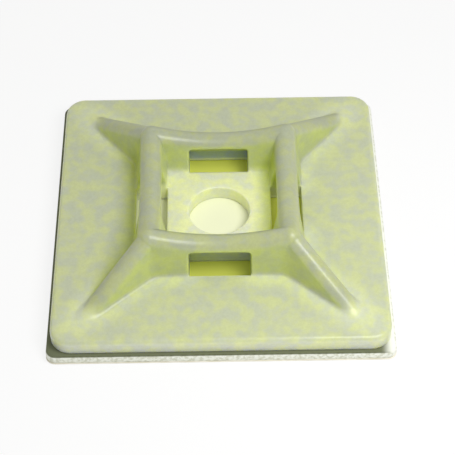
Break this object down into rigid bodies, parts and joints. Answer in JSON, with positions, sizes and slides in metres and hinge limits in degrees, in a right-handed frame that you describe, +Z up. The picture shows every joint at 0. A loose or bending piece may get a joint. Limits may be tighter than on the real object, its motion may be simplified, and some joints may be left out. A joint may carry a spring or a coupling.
{
  "type": "cable tie mount",
  "caption": "Square self-adhesive cable tie mount with a raised ring of tie bridges round a screw well and corner ribs.",
  "frame": {"origin": "centre of the underside, on the face that is stuck down", "axes": "+Z up out of the mounting surface, along the screw hole; X and Y along the plate's sides, each through two facing tie slots"},
  "size_m": [0.0288, 0.0288, 0.0066],
  "materials": {
    "mount_body": "moulded natural nylon, milky and slightly yellow-green, soft sheen",
    "foam_pad": "white closed-cell foam tape, matt",
    "release_liner": "smooth coated release paper"
  },
  "bodies": {
    "root": {"mount_body": "mount_body", "foam_pad": "foam_pad", "release_liner": "release_liner"}
  },
  "joints": []
}
